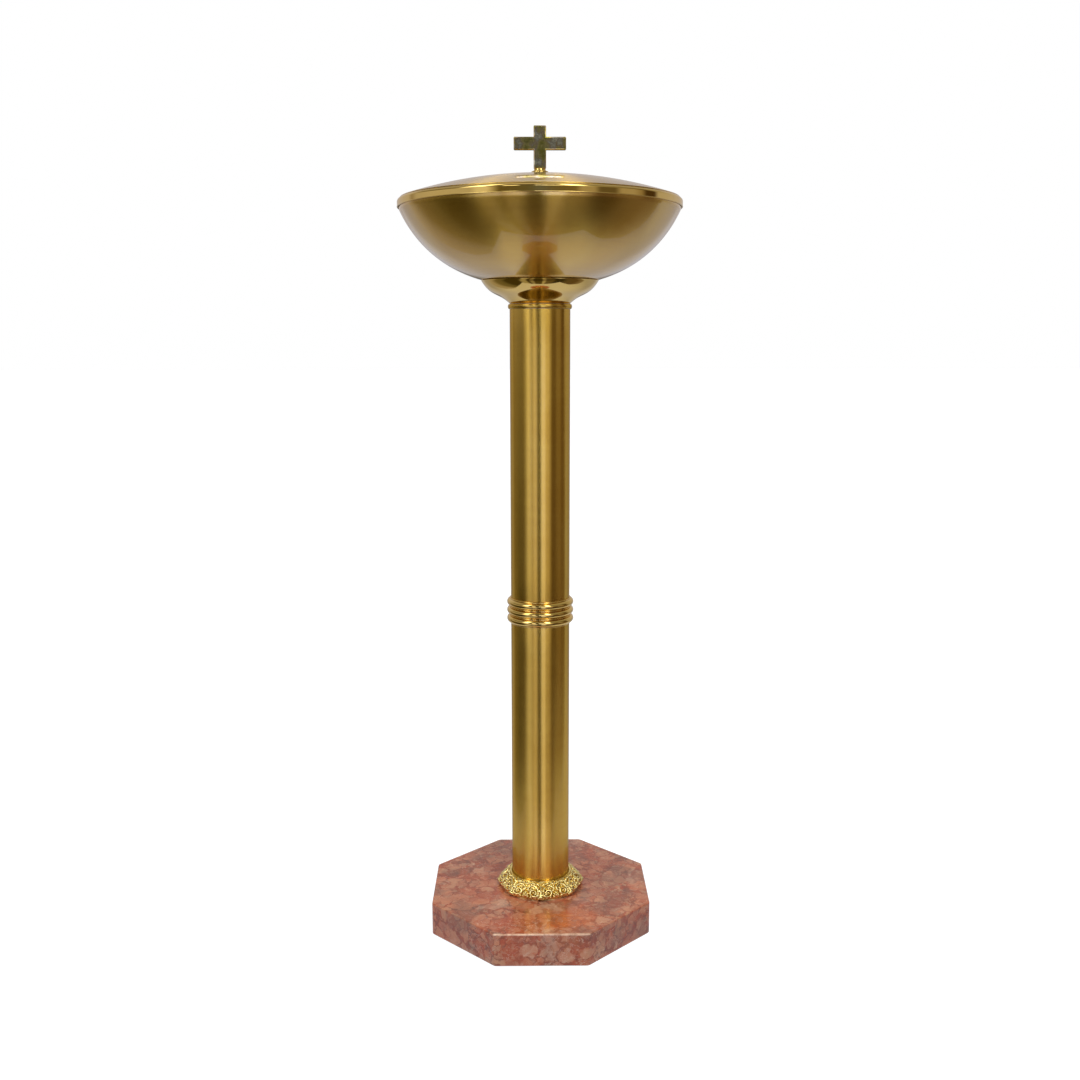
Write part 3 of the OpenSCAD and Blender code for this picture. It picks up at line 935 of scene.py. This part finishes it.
def make_foot():
    """An upright edge, and a hollow sweep from it up to the cross."""
    bottom, top, r = low("cross_foot"), high("cross_foot"), reach("cross_foot")
    edge, top_r = 5.4, 7.5
    run, rise = r - top_r, (top - bottom) - edge
    sweep = (run * run + rise * rise) / (2 * run)
    start = 180 + math.degrees(math.asin(rise / sweep))
    outline = [(STUD_HOLE, bottom), (r - 0.4, bottom)]
    outline += arc(r - 0.5, bottom + 0.55, 0.5, -70, -5, 4)
    outline += arc(r - 0.9, bottom + edge - 0.5, 0.9, 5, 65, 5)
    outline += arc(top_r + sweep, top - 0.35, sweep, start - 2, 180, 14)[1:]
    outline += [(top_r - 0.3, top), (STUD_HOLE, top)]
    foot = lathe("cross_foot_turned", outline, segments=128)
    piece(foot, "lid", ["cross_foot"], polished)


def cross_blank():
    """The cross as a flat shape pushed through its thickness, not yet rounded."""
    bottom, top, span = low("cross"), high("cross"), reach("cross")
    half_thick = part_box("cross")[1].y / MM
    half_bar, head = 8.1, 14
    arm_low, arm_high = top - head - 2 * half_bar, top - head
    right = [(half_bar, bottom), (half_bar, arm_low), (span, arm_low), (span, arm_high),
             (half_bar, arm_high), (half_bar, top)]
    left = [(-x, z) for x, z in right]
    # once round, from the lower left corner
    outline = left[:1] + right + left[:0:-1]
    bm = bmesh.new()
    back = [bm.verts.new((x * MM, half_thick * MM, z * MM)) for x, z in outline]
    made = bmesh.ops.extrude_face_region(bm, geom=[bm.faces.new(back)])
    front = [v for v in made["geom"] if isinstance(v, bmesh.types.BMVert)]
    bmesh.ops.translate(bm, verts=front, vec=(0, -2 * half_thick * MM, 0))
    bmesh.ops.recalc_face_normals(bm, faces=bm.faces)
    return bm


def make_cross():
    rounding, bend = 1.4, 0.5
    bm = cross_blank()
    convex = [e for e in bm.edges if e.is_convex and e.calc_face_angle(0) > bend]
    bmesh.ops.bevel(bm, geom=convex, offset=rounding * MM, segments=3, profile=0.5,
                    affect="EDGES", clamp_overlap=True)
    bmesh.ops.triangulate(bm, faces=[f for f in bm.faces if len(f.verts) > 4])
    bmesh.ops.recalc_face_normals(bm, faces=bm.faces)
    mesh = bpy.data.meshes.new("cross_polished")
    bm.to_mesh(mesh)
    bm.free()
    smooth(mesh, degrees=40)
    cross = link("cross_polished", mesh)
    cross.modifiers.new("weighted", "WEIGHTED_NORMAL").keep_sharp = True
    piece(cross, "lid", ["cross"], cross_brass)


make_rim()
make_dome()
make_foot()
make_cross()

# ---------------------------------------------------------------- carried-over nodes

CARRIED = {
    "base_pads": pad_rubber, "base_washer": zinc, "base_nut": zinc, "tie_rod": zinc,
    "lower_centring_disc": turned_alu, "knop_sleeve": turned_alu,
    "upper_centring_disc": turned_alu, "bowl_seat": turned_alu, "bowl_gasket": seal_rubber,
    "bowl_seal": seal_rubber, "bowl_washer": zinc, "bowl_nut": zinc, "cross_stud": zinc,
    "cross_washer": zinc, "cross_nut": zinc,
}
for node, mat in CARRIED.items():
    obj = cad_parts[node]
    for slot in obj.material_slots:
        slot.material = mat
    if not obj.material_slots:
        obj.data.materials.append(mat)

# ---------------------------------------------------------------- studio

SHEET_Z = 0.0005


def rectangle(x0, y0, x1, y1, z):
    """The corners of a level rectangle, in metres."""
    return [(x0, y0, z), (x1, y0, z), (x1, y1, z), (x0, y1, z)]


def sheet(name, corners):
    """A flat piece of the studio with an empty material: the piece, its nodes and the
    socket for its surface."""
    mesh = bpy.data.meshes.new(name)
    mesh.from_pydata(corners, [], [tuple(range(len(corners)))])
    obj = link(name, mesh)
    mat = bpy.data.materials.new(name)
    mat.use_nodes = True
    mat.node_tree.nodes.clear()
    mesh.materials.append(mat)
    n = Nodes(mat.node_tree)
    return obj, n, n.add("ShaderNodeOutputMaterial").inputs["Surface"]


def hide(obj, *rays):
    """Keeps a piece of the studio out of some kinds of rays."""
    for ray in rays:
        setattr(obj, "visible_" + ray, False)


def fan(n):
    """Darker and lighter bands that fan out from the axis, so that the metal looks round
    from behind too: by how far sideways a place is for how far back."""
    x, y, _ = n.split(n.place())
    slant = n.math("DIVIDE", n.math("ABSOLUTE", x),
                   n.math("MAXIMUM", n.math("ABSOLUTE", y), 0.01))
    dark, light, plain = (.3, .28, .2, 1), (1.25, 1.25, 1.2, 1), (.96, .94, .9, 1)
    return n.ramp(n.times(slant, 0.4), [
        (0.0, dark), (0.05, dark), (0.075, light), (0.2, light), (0.26, plain),
        (0.38, plain), (0.46, (1, 1, 1, 1))])


def make_floor():
    """A wide white floor that only the camera sees, with the object's soft shadow on it. It
    is clear from below, so that the underside can be looked at."""
    size, white, grey = 30, 0.80, (0.42, 0.42, 0.42, 1)
    floor, n, surface = sheet("floor", rectangle(-size, -size, size, size, 0))
    glow = n.add("ShaderNodeEmission")
    glow.inputs["Strength"].default_value = white
    paper = n.add("ShaderNodeBsdfDiffuse")
    paper.inputs["Color"].default_value = grey
    both = n.add("ShaderNodeAddShader")
    n.put(glow.outputs[0], both.inputs[0])
    n.put(paper.outputs[0], both.inputs[1])
    side = n.add("ShaderNodeMixShader")
    n.put(n.add("ShaderNodeNewGeometry").outputs["Backfacing"], side.inputs[0])
    n.put(both.outputs[0], side.inputs[1])
    n.put(n.add("ShaderNodeBsdfTransparent").outputs[0], side.inputs[2])
    n.put(side.outputs[0], surface)
    hide(floor, "glossy", "diffuse")


def make_bounce():
    """The floor's light on the marble and the rubber. Nothing mirrors it."""
    size = 2
    bounce, n, surface = sheet("bounce", rectangle(-size, -size, size, size, 0.0003))
    glow = n.add("ShaderNodeEmission")
    glow.inputs["Color"].default_value = (0.98, 1.0, 1.04, 1)
    glow.inputs["Strength"].default_value = 0.47
    n.put(glow.outputs[0], surface)
    hide(bounce, "camera", "glossy", "shadow")


def make_table():
    """The white table top that the metal mirrors: bright near the object, dimmer and
    banded far behind it."""
    corners = ((-0.42, -0.27), (0.48, -0.27), (0.62, 0.05), (0.9, 0.33), (1.3, 0.55),
               (12, 5), (12, 14), (-12, 14), (-12, 9.5), (-1.9, 1.75), (-1.2, 1.15),
               (-0.55, 0.55), (-0.42, 0.3))
    near, far, colour = 0.64, 0.42, (0.97, 0.97, 1.12, 1)
    table, n, surface = sheet("table", [(x, y, SHEET_Z) for x, y in corners])
    away = n.vec("LENGTH", n.place())
    banded = n.mix(1.0, fan(n), colour, "MULTIPLY")
    glow = n.add("ShaderNodeEmission")
    n.put(n.mix(n.span(away, 1.0, 1.8), colour, banded), glow.inputs["Color"])
    n.put(n.span(away, 0.35, 1.6, near, far, smooth=True), glow.inputs["Strength"])
    n.put(glow.outputs[0], surface)
    hide(table, "camera", "diffuse", "shadow")


def make_carpet():
    """A clear, tinted sheet before the table, which dims what the metal mirrors through it
    of the room below."""
    carpet, n, surface = sheet("carpet", rectangle(-2.4, -2.6, 2.4, -0.45, SHEET_Z))
    dim = n.add("ShaderNodeBsdfTransparent")
    dim.inputs["Color"].default_value = (0.6, 0.55, 0.46, 1)
    n.put(dim.outputs[0], surface)
    hide(carpet, "camera", "diffuse", "shadow")


make_floor()
make_bounce()
make_table()
make_carpet()

# The room by direction: degrees round from the front, where the camera stands (to its right
# is positive), then red, green and blue. The rings follow from the lowest to the highest.

BELOW = (
    (-180, .42, .37, .34), (-128, .38, .34, .30), (-118, .18, .15, .08),
    (-104, .14, .12, .06), (-96, .06, .045, .012), (-64, .06, .045, .012),
    (-57, .36, .33, .25), (-46, .36, .33, .25), (-42, .08, .06, .02), (-35, .08, .06, .02),
    (-32, .28, .25, .19), (-24, .28, .25, .19), (-19, .08, .06, .02), (7, .09, .07, .02),
    (10, .42, .38, .29), (18, .42, .38, .29), (22, .14, .11, .06), (42, .12, .09, .04),
    (50, .04, .03, .01), (66, .04, .03, .01), (80, .12, .09, .05), (100, .12, .08, .04),
    (128, .38, .34, .30), (179, .42, .37, .34))
LOW_RING = (
    (-180, .44, .41, .42), (-135, .42, .39, .39), (-128, .36, .33, .30),
    (-119, .17, .14, .08), (-100, .10, .08, .03), (-90, .05, .04, .010),
    (-70, .05, .04, .010), (-62, .08, .06, .03), (-56, .26, .27, .34),
    (-46, .72, .76, 1.05), (-42, .86, .92, 1.3), (-33, .94, .99, 1.4), (-30, .66, .64, .8),
    (-25, .94, .95, 1.3), (-15, 1.12, 1.15, 1.6), (-9, .30, .29, .33), (0, .13, .13, .13),
    (5, 1.35, 1.45, 2.3), (17, 1.4, 1.5, 2.35), (22, .68, .64, .82), (36, .48, .42, .50),
    (46, .13, .08, .06), (80, .18, .13, .10), (112, .15, .10, .055), (124, .28, .25, .25),
    (135, .42, .39, .39), (179, .44, .41, .42))
HIGH_RING = (
    (-180, .57, .52, .50), (-128, .54, .51, .54), (-122, .34, .29, .24),
    (-114, .52, .49, .50), (-92, .56, .53, .54), (-56, .52, .49, .46), (-50, .8, .78, .76),
    (-42, .8, .76, .72), (-36, .40, .36, .26), (-32, .15, .12, .05), (-10, .14, .13, .08),
    (0, .15, .165, .19), (10, .16, .14, .09), (27, .20, .16, .08), (32, .44, .39, .32),
    (42, .40, .35, .28), (47, .14, .11, .06), (60, .14, .11, .06), (66, .42, .37, .32),
    (78, .42, .37, .32), (86, .30, .24, .16), (91, .07, .04, .015), (101, .07, .04, .015),
    (106, .50, .47, .48), (135, .54, .51, .54), (179, .57, .52, .50))
WINDOWS = (
    (-180, .60, .55, .52), (-128, .55, .52, .54), (-116, .30, .27, .22),
    (-92, .16, .14, .08), (-70, .20, .17, .10), (-64, 1.3, 1.3, 1.4), (-45, 1.3, 1.3, 1.4),
    (-42, .16, .14, .07), (-31, .16, .14, .07), (-29, 1.8, 1.8, 1.9), (-19, 1.8, 1.8, 1.9),
    (-16, .12, .11, .07), (3, .12, .11, .07), (5, 1.7, 1.7, 1.8), (30, 1.5, 1.5, 1.5),
    (38, .9, .88, .8), (44, .40, .37, .28), (58, .28, .24, .16), (92, .12, .09, .05),
    (112, .40, .37, .34), (135, .54, .51, .54), (179, .60, .55, .52))
LAMPS = (
    (-180, .50, .48, .46), (-110, .40, .38, .36), (-70, .30, .28, .26), (-60, 5.0, 5.0, 4.8),
    (-50, 5.0, 5.0, 4.8), (-44, .14, .12, .09), (20, .14, .12, .09), (26, 6.4, 6.4, 6.0),
    (36, 6.4, 6.4, 6.0), (41, .24, .22, .18), (110, .40, .38, .36), (179, .50, .48, .46))


def make_world():
    """A darker room with lit panels in front, an even grey one behind and a soft ceiling.
    The camera itself sees plain white."""
    world = bpy.data.worlds.new("studio")
    world.use_nodes = True
    SCENE.world = world
    n = Nodes(world.node_tree)
    world.node_tree.nodes.clear()
    x, y, z = n.split(n.add("ShaderNodeTexCoord").outputs["Generated"])
    round_axis = n.math("ARCTAN2", x, n.times(y, -1.0))
    turn = n.plus(n.math("DIVIDE", round_axis, 2 * math.pi), 0.5)
    tilt = n.times(n.math("ARCSINE", z), 180 / math.pi)

    def ring(stops):
        return n.ramp(turn, [(0.5 + a / 360, (r, g, b, 1)) for a, r, g, b in stops])

    colour = ring(BELOW)
    for start, end, stops in (
            (-38, -20, LOW_RING), (-3, 4, HIGH_RING), (12, 15, WINDOWS)):
        colour = n.mix(n.span(tilt, start, end, smooth=True), colour, ring(stops))
    # one small bright window over the camera, which the top of the dome mirrors
    front = n.times(n.span(n.away(turn, 0.5), 0.012, 0.014, 1.0, 0.0),
                    n.times(n.span(tilt, 20, 21), n.span(tilt, 25, 26, 1.0, 0.0)))
    colour = n.mix(front, colour, (4.3, 4.5, 6.0, 1))
    colour = n.mix(n.span(tilt, 28, 34, smooth=True), colour, ring(LAMPS))
    ceiling = n.ramp(n.span(tilt, 30, 90), [
        (0.0, (.4, .38, .34, 1)), (0.45, (.45, .43, .38, 1)), (1.0, (.7, .68, .64, 1))])
    colour = n.mix(n.span(tilt, 58, 72, smooth=True), colour, ceiling)
    seen = n.add("ShaderNodeLightPath").outputs["Is Camera Ray"]
    back = n.add("ShaderNodeBackground")
    n.put(n.mix(seen, colour, (1, 1, 1, 1)), back.inputs["Color"])
    out = n.add("ShaderNodeOutputWorld")
    n.put(back.outputs[0], out.inputs["Surface"])


def make_top_light():
    """A soft lamp above, in front of the object. No metal mirrors it."""
    at, target = Vector((0.2, -0.4, 2.6)), Vector((0, 0, 0.2))
    data = bpy.data.lights.new("top_light", "AREA")
    data.shape = "RECTANGLE"
    data.size = data.size_y = 1.4
    data.energy = 28
    data.color = (1.0, 0.97, 0.92)
    lamp = link("top_light", data)
    lamp.location = at
    lamp.rotation_euler = (target - at).to_track_quat("-Z", "Y").to_euler()
    hide(lamp, "glossy")


make_world()
make_top_light()

SCENE.view_settings.view_transform = "Standard"
SCENE.view_settings.look = "None"
